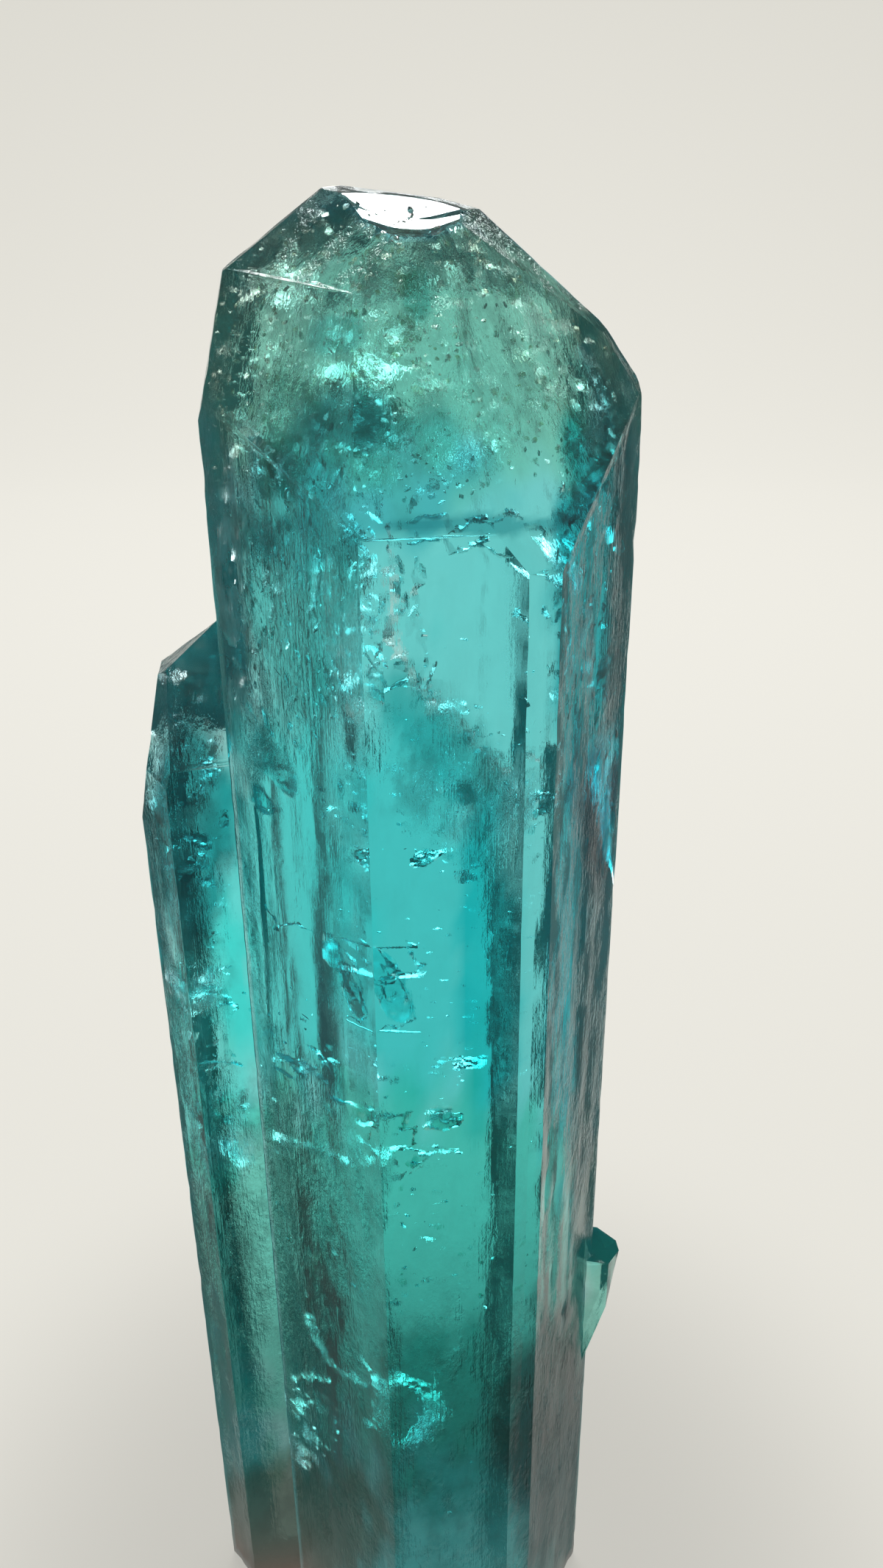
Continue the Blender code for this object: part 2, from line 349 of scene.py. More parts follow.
def through(across, down, solid):
    """The line of sight through a picture point inside a crystal: where it enters, its bent unit
    direction and how far it runs. The entry is the last face crossed from outside, and Snell's law
    turns the ray: the part along the face shrinks by the refractive index."""
    normals, offsets = solid
    ray = sight(across, down)
    slant = normals @ ray
    gap = offsets - normals @ EYE
    face = np.where(slant < -1e-9, gap / np.where(slant < -1e-9, slant, 1), -np.inf).argmax()
    entry = EYE + ray * gap[face] / slant[face]
    flat = (ray - normals[face] * slant[face]) / BERYL_IOR
    inner = flat - normals[face] * math.sqrt(max(0, 1 - flat @ flat))
    slant = normals @ inner
    gap = offsets - normals @ entry
    leaving = slant > 1e-9
    run = (gap[leaving] / slant[leaving]).min()
    return entry, inner, run


def tangents(azimuth, slope):
    """Unit vectors of a plane: across it, up it and its normal, for the azimuth and slope it faces."""
    b, s = math.radians(azimuth), math.radians(slope)
    across = np.array([math.cos(b), math.sin(b), 0])
    normal = np.array([math.sin(b) * math.sin(s), -math.cos(b) * math.sin(s), math.cos(s)])
    return across, np.cross(normal, across), normal


def lit_normal(inner):
    """The way a crack must face to mirror the light from behind into a line of sight: half way between
    the light's direction in the beryl and the reversed line. Lines bent to the right by the slanting
    left faces need light that comes in from further left."""
    return unit((LIGHT_WAY_LEFT if inner[0] > RIGHT_BEND else LIGHT_WAY) - inner)


def lit_facing(inner, rng):
    """That facing as an azimuth and a slope in degrees, with some stray."""
    normal = lit_normal(inner)
    azimuth = math.degrees(math.atan2(normal[0], -normal[1]))
    slope = math.degrees(math.acos(normal[2]))
    return azimuth + rng.normal() * LIT_STRAY, slope + rng.normal() * LIT_STRAY


def crack(middle, facing, radii, turn, wave, gap, seed, solid, mesh_size):
    """One crack as a closed lens. Rim radius = ellipse x (1 + ragged noise), cut short at the crystal's
    faces; height = (broad swell + fine swell + ripples round the middle) x the height of the waves, less
    towards the rim; the two skins part by gap x (1 - share of the radius squared)."""
    rng = np.random.default_rng(seed)
    rings, spokes = mesh_size
    across, up, normal = tangents(*facing)
    angle = np.linspace(0, 2 * np.pi, spokes, endpoint=False)
    ragged = 0
    for lobes in (2, 3, 5, 7):
        ragged = ragged + rng.uniform(0.4, 1) / lobes**0.7 * np.cos(lobes * angle + rng.uniform(0, 6.3))
    spin = angle - math.radians(turn)
    rim = radii[0] * radii[1] / np.hypot(radii[1] * np.cos(spin), radii[0] * np.sin(spin))
    rim *= np.clip(1 + 0.36 * ragged, 0.15, 2)
    way = np.outer(np.cos(angle), across) + np.outer(np.sin(angle), up)
    slant = way @ solid[0].T
    room = (solid[1] - CRACK_CLEARANCE - solid[0] @ middle) / np.where(slant > 1e-6, slant, np.nan)
    rim = np.clip(rim, 0.02, np.nanmin(room, axis=1) * 0.96)
    share = np.linspace(0, 1, rings + 1)[1:, None]
    flat = middle + (share * rim)[..., None] * way
    sheet = np.vstack([middle, flat.reshape(-1, 3)])
    reach = np.append(0, (share * rim).ravel())
    level = np.append(0, np.broadcast_to(share, (rings, spokes)).ravel())
    rough = swell(sheet, seed, max(radii) * 0.9) + 0.4 * swell(sheet, seed + 1, 0.5)
    rough += 0.25 * np.cos(reach * 9 + rng.uniform(0, 6.3))
    rough *= np.clip(1.5 - level, 0, 1)
    parting = gap / 2 * (1 - level**2)
    return sheet, normal, wave * rough, parting, mesh_size


def crack_mesh(cracks):
    """All cracks as one mesh. Each has an upper and a lower skin of rings and spokes that share the rim,
    with normals that point into the gap, away from the beryl."""
    points, faces, start = [], [], 0
    for sheet, normal, height, parting, (rings, spokes) in cracks:
        inner = 1 + (rings - 1) * spokes
        upper = sheet + np.outer(height + parting, normal)
        lower = sheet + np.outer(height - parting, normal)
        points += [upper, lower[:inner]]
        top = 1 + np.arange(rings * spokes).reshape(-1, spokes)
        low = top.copy()
        low[:-1] += len(sheet)
        for ring, hub, flip in ((top, 0, 1), (low, len(sheet), -1)):
            right = np.roll(ring, -1, axis=1)
            quads = np.stack([ring[:-1], ring[1:], right[1:], right[:-1]], -1).reshape(-1, 4)
            fan = np.stack([np.full(spokes, hub), ring[0], right[0]], -1)
            faces += (start + quads[:, ::-flip]).tolist() + (start + fan[:, ::-flip]).tolist()
        start += len(sheet) + inner
    return new_mesh("cracks", np.concatenate(points), faces)


# The faces that the lines of sight cross: the main prism with its scar and, higher up, without it,
# and the side crystal.
MAIN = half_spaces(MAIN_AXIS, MAIN_SIDES + [(SCAR_AZIMUTH, SCAR_DISTANCE)], MAIN_ENDS, 0)
SIDE = half_spaces(SIDE_AXIS, SIDE_SIDES, SIDE_ENDS, 0)
UPPER = half_spaces(MAIN_AXIS, MAIN_SIDES, MAIN_ENDS, 0)

# Single cracks: picture column and row, share of the depth, azimuth and slope faced, radii and turn,
# and height of the waves, in pixels, degrees and millimetres.
SINGLE_CRACKS = [
    (UPPER, 514, 347, 0.3, 0, 78, 0.17, 0.62, 90, 0.1),  # drop under the bite
    (UPPER, 566, 385, 0.45, 20, 48, 0.7, 0.6, 0, 0.12),  # dark blobs right of it
    (UPPER, 560, 446, 0.45, -15, 52, 0.5, 0.8, 0, 0.12),
    (UPPER, 455, 460, 0.55, -30, 38, 0.9, 0.7, 0, 0.12),  # teal patches under the cap
    (UPPER, 480, 560, 0.6, 10, 42, 2.2, 1.7, 20, 0.2),
    (UPPER, 560, 680, 0.35, 80, 84, 0.25, 0.9, 90, 0.08),  # bright streaks
    (UPPER, 590, 660, 0.45, 75, 84, 0.2, 0.7, 90, 0.08),
    (MAIN, 370, 1040, 0.5, -35, 40, 2.1, 0.9, -40, 0.1),  # wedges on the left panel
    (MAIN, 352, 1085, 0.65, 30, 55, 1.6, 0.7, -40, 0.12),
    (MAIN, 522, 1335, 0.35, 25, 62, 0.9, 1.9, 10, 0.12),  # inside the pocket
    (MAIN, 510, 1520, 0.45, 10, 30, 1.1, 0.8, 40, 0.2),
    (SIDE, 275, 1080, 0.6, -60, 55, 0.9, 2, 15, 0.08),  # dark triangle in the side crystal
    (SIDE, 275, 1350, 0.55, -50, 50, 1, 1.6, 20, 0.12),
]

# Clusters: picture column and row, half width and height there, least and most share of the depth,
# count, least and most size, steepest slope or LIT, height of the waves, and how much taller than wide
# each crack is.
CRACK_CLUSTERS = [
    (UPPER, 382, 388, 40, 25, 0.2, 0.6, 7, 0.25, 0.7, 12, 0.08, 0.8),  # pale wisps on the cap
    (UPPER, 350, 670, 50, 75, 0.1, 0.6, 12, 0.15, 0.6, 80, 0.06, 1.8),  # glints on the left
    (UPPER, 560, 560, 60, 70, 0.1, 0.5, 9, 0.2, 0.6, 40, 0.1, 0.9),
    (UPPER, 325, 900, 30, 55, 0.1, 0.5, 8, 0.15, 0.6, 60, 0.08, 1.4),
    (UPPER, 475, 850, 45, 110, 0.1, 0.5, 7, 0.1, 0.4, 88, 0.04, 3.5),  # upright streaks
    (UPPER, 808, 640, 45, 60, 0.05, 0.25, 8, 0.2, 0.6, 60, 0.12, 1.3),  # the wispy right zone
    (UPPER, 808, 820, 40, 170, 0.05, 0.25, 14, 0.2, 0.6, 85, 0.1, 2.4),
    (MAIN, 625, 1120, 70, 75, 0.3, 0.7, 12, 0.2, 0.7, 55, 0.12, 1),  # textured fracture
    (MAIN, 420, 1445, 45, 16, 0.2, 0.5, 5, 0.3, 0.9, 6, 0.05, 0.5),  # level glints
    (MAIN, 620, 1438, 35, 12, 0.2, 0.5, 4, 0.3, 0.8, 6, 0.05, 0.5),
    (MAIN, 385, 1945, 62, 42, 0.1, 0.4, 14, 0.3, 0.9, LIT, 0.06, 0.8),  # bright glints low down
    (MAIN, 400, 1600, 70, 110, 0.1, 0.6, 9, 0.15, 0.5, 70, 0.08, 1.5),
    (SIDE, 272, 1165, 30, 35, 0.2, 0.7, 5, 0.2, 0.6, 40, 0.1, 1),  # wisps in the side crystal
    (SIDE, 300, 1440, 30, 130, 0.2, 0.7, 8, 0.15, 0.6, 80, 0.06, 2),
]


def placed_crack(solid, across, down, share, azimuth, slope, wide, tall, turn, wave, seed, mesh_size=FINE):
    """A crack set at a share of the way through the crystal behind a picture point, or none where
    the crystal has no room for it."""
    entry, inner, run = through(across, down, solid)
    middle = entry + inner * run * share
    if (solid[0] @ middle > solid[1] - 2 * CRACK_CLEARANCE).any():
        return []
    gap = min(GAP_MOST, GAP_LEAST + GAP_GROWTH * wide)
    return [crack(middle, (azimuth, slope), (wide, tall), turn, wave, gap, seed, solid, mesh_size)]


def clustered_cracks():
    """The clusters, each crack at a random place, depth, facing and size inside its cluster."""
    found = []
    for index, cluster in enumerate(CRACK_CLUSTERS):
        solid, across, down, half_across, half_down, near, deep = cluster[:7]
        count, small, large, slope, wave, tall = cluster[7:]
        rng = np.random.default_rng(100 + index)
        for piece in range(count):
            size = rng.uniform(small, large)
            place = (across + rng.uniform(-1, 1) * half_across, down + rng.uniform(-1, 1) * half_down)
            facing = (rng.uniform(-80, 80), rng.uniform(0.3, 1) * slope)
            if slope == LIT:
                facing = lit_facing(through(*place, solid)[1], rng)
            turn = rng.uniform(-30, 30)
            found += placed_crack(solid, *place, rng.uniform(near, deep), *facing, size, size * tall, turn,
                                  wave, 1000 * index + piece, COARSE)
    return found


def legs(line):
    """A line drawn in the picture, and how many pixels along it each of its points lies."""
    line = np.array(line, float)
    return line, np.append(0, np.cumsum(np.linalg.norm(np.diff(line, axis=0), axis=1)))


def ribbon(solid, line, share, wide, lean, stray, seed):
    """A narrow crack along a line drawn in the picture: a flattened tube of four points per station.
    The path strays from the line by noise, the width swells and thins along it, and the band leans to
    the viewer by the given angle, give or take noise."""
    line, leg = legs(line)
    stations = max(8, round(leg[-1] / 5))
    along = np.linspace(0, leg[-1], stations)
    spots = np.stack([np.interp(along, leg, line[:, axis]) for axis in (0, 1)], -1)
    track = np.outer(along / 30, (1, 0, 0))
    spots += stray * np.stack([swell(track, seed, 0.9), swell(track, seed + 1, 0.9)], -1)
    path = []
    for spot, wander in zip(spots, swell(track, seed + 2, 1.5)):
        entry, inner, run = through(*spot, solid)
        path.append(entry + inner * run * (share + 0.02 * wander))
    path = np.array(path)
    room = (solid[1] - path @ solid[0].T).min(axis=1)
    kept = room > SMALL_CLEARANCE
    path, room, track = path[kept], room[kept], track[kept]
    stations = len(path)
    if stations < 6:
        return []
    heading = unit(np.gradient(path, axis=0))
    tilt = np.radians(lean + 12 * swell(track, seed + 3, 0.5))
    normal = np.stack([np.zeros(stations), -np.sin(tilt), np.cos(tilt)], -1)
    normal = unit(normal - heading * (normal * heading).sum(axis=1, keepdims=True))
    flat = np.cross(heading, normal)
    taper = np.sqrt(np.sin(np.linspace(0.15, 3, stations)))
    reach = wide * np.clip(1 + 0.7 * swell(track, seed + 4, 0.35), 0.15, 2) * taper
    reach = np.minimum(reach, np.clip(room - SMALL_CLEARANCE, 0.01, None))[:, None]
    aside, above = flat * reach, normal * RIBBON_HALF_THICK
    return [np.stack([path + aside, path + above, path - aside, path - above], 1)]


def glint_chain(solid, line, share, wide, stray, seed):
    """A crack along a line drawn in the picture that glints all the way: small even cracks one after
    another, each turned to mirror the light."""
    rng = np.random.default_rng(seed)
    line, leg = legs(line)
    found = []
    for along in np.arange(0, leg[-1], max(5, GLINT_STEP * wide)):
        spot = [np.interp(along, leg, line[:, axis]) + rng.normal() * stray / 3 for axis in (0, 1)]
        facing = lit_facing(through(*spot, solid)[1], rng)
        size = wide * rng.uniform(0.6, 1.3)
        deep = share + rng.normal() * 0.02
        found += placed_crack(solid, *spot, deep, *facing, size, size, 0, 0.01, seed + round(along), PLAIN)
    return found


def ribbon_mesh(tubes):
    """All ribbons as one mesh, closed at both ends, with normals into the gap."""
    points, faces, start = [], [], 0
    for tube in tubes:
        faces += tube_faces(start + np.arange(len(tube) * 4).reshape(-1, 4))
        points.append(tube.reshape(-1, 3))
        start += len(tube) * 4
    mesh = new_mesh("ribbons", np.concatenate(points), faces)
    bm = bmesh.new()
    bm.from_mesh(mesh)
    bmesh.ops.recalc_face_normals(bm, faces=bm.faces)
    bmesh.ops.reverse_faces(bm, faces=bm.faces)
    bm.to_mesh(mesh)
    bm.free()
    return mesh


def flakes():
    """Tiny flat gaps, six-sided lenses: centres above and below and a shared rim, 12 triangles each."""
    points, faces = [], []
    rim = np.linspace(0, 2 * np.pi, 6, endpoint=False)
    for index, cloud in enumerate(FLAKES):
        solid, across, down, half_across, half_down, near, deep = cloud[:7]
        count, small, large, slope, tall = cloud[7:]
        rng = np.random.default_rng(900 + index)
        for _ in range(count):
            angle, far = rng.uniform(0, 2 * np.pi), math.sqrt(rng.uniform(0, 1))
            place = (across + half_across * far * math.cos(angle), down + half_down * far * math.sin(angle))
            entry, inner, run = through(*place, solid)
            middle = entry + inner * run * rng.uniform(near, deep)
            size = small * (large / small) ** rng.uniform(0, 1)
            facing = (rng.uniform(-90, 90), rng.uniform(0.28, 1) * slope)
            if slope == LIT:
                facing = lit_facing(inner, rng)
            side, up, normal = tangents(*facing)
            if (solid[0] @ middle > solid[1] - SMALL_CLEARANCE - size * tall).any():
                continue
            reach = size * rng.uniform(0.6, 1.3, 6)
            edge = middle + np.outer(np.cos(rim) * reach, side) + np.outer(np.sin(rim) * reach * tall, up)
            start = len(points)
            points += [middle + normal * FLAKE_HALF_THICK, middle - normal * FLAKE_HALF_THICK, *edge]
            for corner in range(6):
                here, following = start + 2 + corner, start + 2 + (corner + 1) % 6
                faces += [(start, following, here), (start + 1, here, following)]
    return new_mesh("flakes", points, faces)


# Narrow cracks: a line of picture points, share of the depth, half width in mm, lean to the viewer in
# degrees or LIT, and how many pixels the path strays. LIT ones become chains of glints.
RIBBONS = [
    (UPPER, [(556, 742), (600, 733), (629, 723), (657, 697), (703, 703), (756, 734)],
     0.35, 0.12, 58, 4),
    (UPPER, [(700, 449), (735, 470), (767, 497), (800, 540), (834, 573)], 0.2, 0.2, 11, 4),
    (UPPER, [(690, 470), (730, 500), (775, 560), (800, 600)], 0.25, 0.25, 30, 5),
    (UPPER, [(772, 583), (790, 630), (815, 655), (850, 715)], 0.2, 0.2, 9, 4),
    (UPPER, [(535, 745), (527, 790), (540, 830), (532, 870), (552, 910), (580, 955), (640, 1000),
             (692, 1045)], 0.45, 0.22, 38, 7),
    (UPPER, [(545, 900), (575, 930), (610, 975), (660, 1010)], 0.5, 0.4, 45, 8),
    (UPPER, [(300, 428), (340, 402), (370, 395), (412, 370), (450, 352)], 0.15, 0.14, LIT, 9),
    (UPPER, [(345, 372), (380, 380), (420, 400)], 0.3, 0.25, 12, 6),
    (UPPER, [(640, 330), (690, 372), (720, 420), (770, 450), (812, 505)], 0.3, 0.2, 22, 6),
    (UPPER, [(295, 560), (330, 590), (345, 640), (370, 655)], 0.3, 0.25, 20, 7),
    (UPPER, [(420, 520), (470, 500), (530, 520), (545, 570)], 0.4, 0.3, 30, 7),
    (UPPER, [(470, 760), (468, 830), (490, 900), (480, 960)], 0.4, 0.15, 60, 5),
    (MAIN, [(372, 1550), (408, 1556), (440, 1562), (478, 1584), (520, 1574)], 0.3, 0.24, LIT, 8),
    (MAIN, [(515, 1574), (545, 1562), (580, 1568), (628, 1564)], 0.3, 0.22, LIT, 7),
    (MAIN, [(395, 1452), (440, 1470), (480, 1500), (500, 1550)], 0.3, 0.2, 20, 8),
    (MAIN, [(488, 1275), (520, 1300), (545, 1345), (562, 1385), (545, 1402), (512, 1398)],
     0.3, 0.1, 20, 4),
    (MAIN, [(490, 1285), (500, 1320), (530, 1340)], 0.33, 0.3, 5, 6),
    (MAIN, [(362, 1236), (380, 1262), (400, 1258), (422, 1272)], 0.25, 0.14, 22, 6),
    (MAIN, [(316, 1198), (330, 1186), (347, 1180)], 0.2, 0.16, 30, 4),
    (MAIN, [(372, 1440), (410, 1448), (460, 1444)], 0.3, 0.18, LIT, 5),
    (MAIN, [(590, 1448), (620, 1438), (655, 1440)], 0.3, 0.13, LIT, 5),
    (MAIN, [(418, 1792), (432, 1830), (455, 1862), (492, 1884), (545, 1880), (592, 1902)],
     0.22, 0.32, LIT, 4),
    (MAIN, [(370, 1882), (410, 1874), (442, 1876)], 0.22, 0.3, LIT, 4),
    (MAIN, [(540, 1872), (575, 1880), (592, 1910), (570, 1950), (545, 1965)], 0.3, 0.26, LIT, 5),
    (MAIN, [(302, 1902), (340, 1945), (392, 1972), (432, 1985)], 0.25, 0.6, LIT, 12),
    (MAIN, [(350, 1925), (390, 1950), (430, 1955)], 0.3, 0.6, LIT, 12),
    (MAIN, [(420, 1640), (432, 1700), (425, 1760)], 0.3, 0.12, 50, 6),
    (MAIN, [(335, 1600), (350, 1640), (330, 1700), (345, 1760)], 0.3, 0.12, 40, 8),
    (SIDE, [(240, 1140), (262, 1160), (285, 1175), (300, 1200)], 0.4, 0.2, 10, 6),
    (SIDE, [(235, 1330), (270, 1360), (305, 1350), (325, 1385)], 0.4, 0.25, 5, 7),
    (SIDE, [(260, 1440), (290, 1475), (300, 1540)], 0.4, 0.15, 30, 6),
]

# Flakes: picture column and row, half width and height there, least and most share of the depth, count,
# smallest and largest size in mm, steepest slope or LIT, and how much taller than wide.
FLAKES = [
    (UPPER, 312, 620, 34, 130, 0.02, 0.3, 130, 0.05, 0.18, 22, 1),
    (UPPER, 360, 450, 70, 90, 0.02, 0.3, 150, 0.04, 0.15, 22, 1),
    (UPPER, 560, 470, 290, 220, 0.004, 0.08, 900, 0.05, 0.17, 85, 1),
    (UPPER, 385, 790, 105, 240, 0.004, 0.08, 500, 0.04, 0.14, 85, 2.2),
    (UPPER, 560, 460, 290, 210, 0.01, 0.4, 700, 0.05, 0.26, 60, 0.8),
    (UPPER, 385, 780, 105, 240, 0.01, 0.4, 480, 0.05, 0.2, 85, 2.5),
    (UPPER, 810, 800, 55, 300, 0.02, 0.3, 420, 0.05, 0.25, 80, 1.8),
    (MAIN, 620, 1070, 90, 120, 0.2, 0.8, 190, 0.05, 0.22, 60, 1.2),
    (SIDE, 262, 1200, 55, 300, 0.05, 0.8, 240, 0.05, 0.22, 70, 1.5),
    (MAIN, 390, 1680, 110, 330, 0.05, 0.7, 340, 0.05, 0.22, 60, 1.2),
    (MAIN, 650, 1850, 120, 230, 0.05, 0.7, 120, 0.04, 0.16, 60, 1.2),
    (MAIN, 560, 1250, 260, 420, 0.05, 0.9, 130, 0.03, 0.1, 30, 1),
    (MAIN, 385, 1945, 85, 60, 0.05, 0.4, 120, 0.08, 0.3, LIT, 1),
    (MAIN, 640, 1330, 75, 160, 0.3, 0.8, 40, 0.04, 0.12, LIT, 1),
]

single_cracks = [found for seed, row in enumerate(SINGLE_CRACKS) for found in placed_crack(*row, seed)]
tubes, chains = [], []
for index, (*place, lean, stray) in enumerate(RIBBONS):
    if lean == LIT:
        chains += glint_chain(*place, stray, 7000 + 10 * index)
    else:
        tubes += ribbon(*place, lean, stray, 7000 + 10 * index)
crack_sheets = add_object("cracks", crack_mesh(single_cracks + clustered_cracks() + chains))
ribbon_sheets = add_object("ribbons", ribbon_mesh(tubes))
flake_sheets = add_object("flakes", flakes())

# The skin and the cracks are one surface, because both bound the same beryl.


def merge_meshes(first, others):
    """Adds the other objects' meshes to the first and drops them."""
    bm = bmesh.new()
    bm.from_mesh(first.data)
    for other in others:
        bm.from_mesh(other.data)
        bpy.data.objects.remove(other)
    bm.to_mesh(first.data)
    bm.free()


merge_meshes(crystal, [crack_sheets, ribbon_sheets, flake_sheets])
crystal_mesh = crystal.data
crystal_mesh.name = "crystal_skin"
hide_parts("aquamarine_crystal")
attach(crystal, "root")

# Its substance: clear blue-green beryl. The colour is in the depth, so thick parts are deeper than
# thin ones, and red is taken out most. Zones on the skin tint it further, partly as colour zoning and
# partly as painted shade. Etching dulls parts of the skin, and fine upright striae and pits catch the
# light.
BERYL_PASSES = (0, 0.846, 0.87)  # share of each colour that the tint lets by
BERYL_DENSITY = 124  # absorption per metre
POLISH = 0.015  # roughness where nothing dulls the skin
CLOUDS, PATCHES = (1, 1.8, 7), (1.2, 3, 3)  # noises: pitch in mm, stretch upright and detail
STRIAE, PITS = (0.13, 40, 2), (0.3, 2, 4)
CLOUD_RAMP = (0.42, 0.66, 0, 0.58)  # the noise levels that it runs between, and its values there
PATCH_RAMP = (0.4, 0.62, 0.25, 1)
STRIAE_PART, PITS_PART = 0.3, 0.7  # of the bump's height
BUMP_HEIGHT = 0.3 * MM

# Zones of tint and painted shade: picture column and row, half width and height, turn, and the share
# of red, green and blue that they let by. Some are the beryl's colour zoning. The darkened right side,
# side crystal, dark band and lower part are painted shade, darker where less light comes through.
TINT_AND_SHADE_ZONES = [
    (560, 460, 330, 200, 0, (0.84, 0.89, 0.74)),  # cap and shoulders
    (480, 570, 62, 46, 0, (0.5, 0.77, 0.84)),  # darker clouds on them
    (566, 398, 20, 42, 0, (0.4, 0.68, 0.68)),
    (455, 455, 38, 30, 0, (0.5, 0.77, 0.8)),
    (405, 735, 70, 40, 0, (0.6, 0.82, 0.85)),
    (640, 714, 115, 13, 0, (0.35, 0.62, 0.65)),
    (510, 640, 150, 90, 0, (0.42, 0.75, 0.8)),
    (400, 790, 74, 200, 0, (0.4, 0.77, 0.75)),  # left band
    # painted shade: the right side, darker where less light comes through
    (815, 850, 62, 330, 0, (0.04, 0.61, 0.66)),  # right side
    (390, 1230, 100, 260, 0, (0.38, 1, 1)),  # the two panels
    (560, 1230, 90, 280, 0, (0.42, 0.91, 0.92)),
    (600, 1010, 125, 42, 48, (0.4, 0.7, 0.7)),  # below the window's slanting edge
    # painted shade: the dark band
    (665, 1320, 46, 200, 0, (0.1, 0.8, 0.83)),  # dark band
    # painted shade on the right side, as above
    (820, 1100, 34, 100, 0, (0.05, 0.62, 0.66)),
    (800, 1350, 52, 320, 0, (0.02, 0.74, 0.84)),  # right side lower down
    # painted shade: the side crystal darkened
    (262, 1130, 62, 150, 0, (0.08, 0.46, 0.48)),  # side crystal
    (290, 1420, 62, 190, 0, (0.45, 1, 0.97)),
    # painted shade: the lower part darker, and browner at the bottom left
    (540, 1720, 320, 250, 0, (0.48, 0.86, 0.75)),  # lower part
    (620, 1940, 120, 130, 0, (0.25, 0.62, 0.6)),
    (745, 1960, 60, 170, 0, (0.05, 0.3, 0.32)),
    (400, 2070, 130, 90, 0, (0.62, 0.42, 0.36)),
]
# Etched places: the same, and how dull they are and how strong their grain is.
ETCHED_ZONES = [
    (560, 450, 330, 205, 0, 0.1, 0.8),  # cap and shoulders
    (390, 790, 115, 240, 0, 0.05, 0.75),  # left band
    (815, 850, 62, 360, 0, 0.06, 0.4),  # right side
    (800, 1400, 52, 260, 0, 0.05, 0.35),
    (610, 1060, 120, 80, 40, 0.06, 0.9),  # textured fracture
    (318, 840, 22, 190, 0, 0.5, 0.7),  # hazy edges
    (818, 1105, 30, 100, 0, 0.45, 1),
    (250, 1200, 70, 330, 0, 0.06, 0.9),  # side crystal
    (380, 1640, 130, 200, 0, 0.08, 0.8),  # lower left
    (600, 1970, 300, 190, 0, 0.1, 0.6),  # foot
]
BACK_ETCH_FROM = 68  # mm above the foot, the height from which the back is etched too
BACK_ETCH_DULL = 0.22
PLAIN_GRAIN, FLANK_GRAIN = 0.1, 0.8  # on plain faces, and on the right flank of the back
SCAR_DULL, SCAR_GRAIN = 0.08, 0.9
TOP_FROM, TOP_DULL = 70, 0.5  # mm above the foot from which level faces are dull, and how dull
# A strip of the back right side face is hazy, from its left edge to this x in mm.
HAZY_SIDE = MAIN_SIDES[4]
HAZE_END, HAZE_DULL = 5.6, 0.8


def picture_place(points):
    """Picture columns and rows of points given in mm."""
    seen = (points - EYE) @ np.array(EYE_TURN.to_matrix())
    return PICTURE[0] / 2 - FOCAL * seen[:, 0] / seen[:, 2], PICTURE[1] / 2 + FOCAL * seen[:, 1] / seen[:, 2]


def off_side(points, azimuth, distance):
    """How many mm points stand off the plane of a side face of the main prism."""
    angle = math.radians(azimuth)
    return np.abs((points[:, :2] - MAIN_AXIS) @ np.array([math.sin(angle), -math.cos(angle)]) - distance)


def zone_share(points, place, zone):
    """How far points lie inside a zone, 0 to 1: an ellipse in the picture whose soft rim wavers and runs
    from 1.3 to 0.75 times its size."""
    across, down, half_across, half_down, turn = zone[:5]
    a, d = place[0] - across, place[1] - down
    turn = math.radians(turn)
    size = np.hypot((a * math.cos(turn) + d * math.sin(turn)) / half_across,
                    (d * math.cos(turn) - a * math.sin(turn)) / half_down)
    size += 0.16 * swell(points, round(across + down), 1.8, 2)
    share = np.clip((1.3 - size) / 0.55, 0, 1)
    return share * share * (3 - 2 * share)


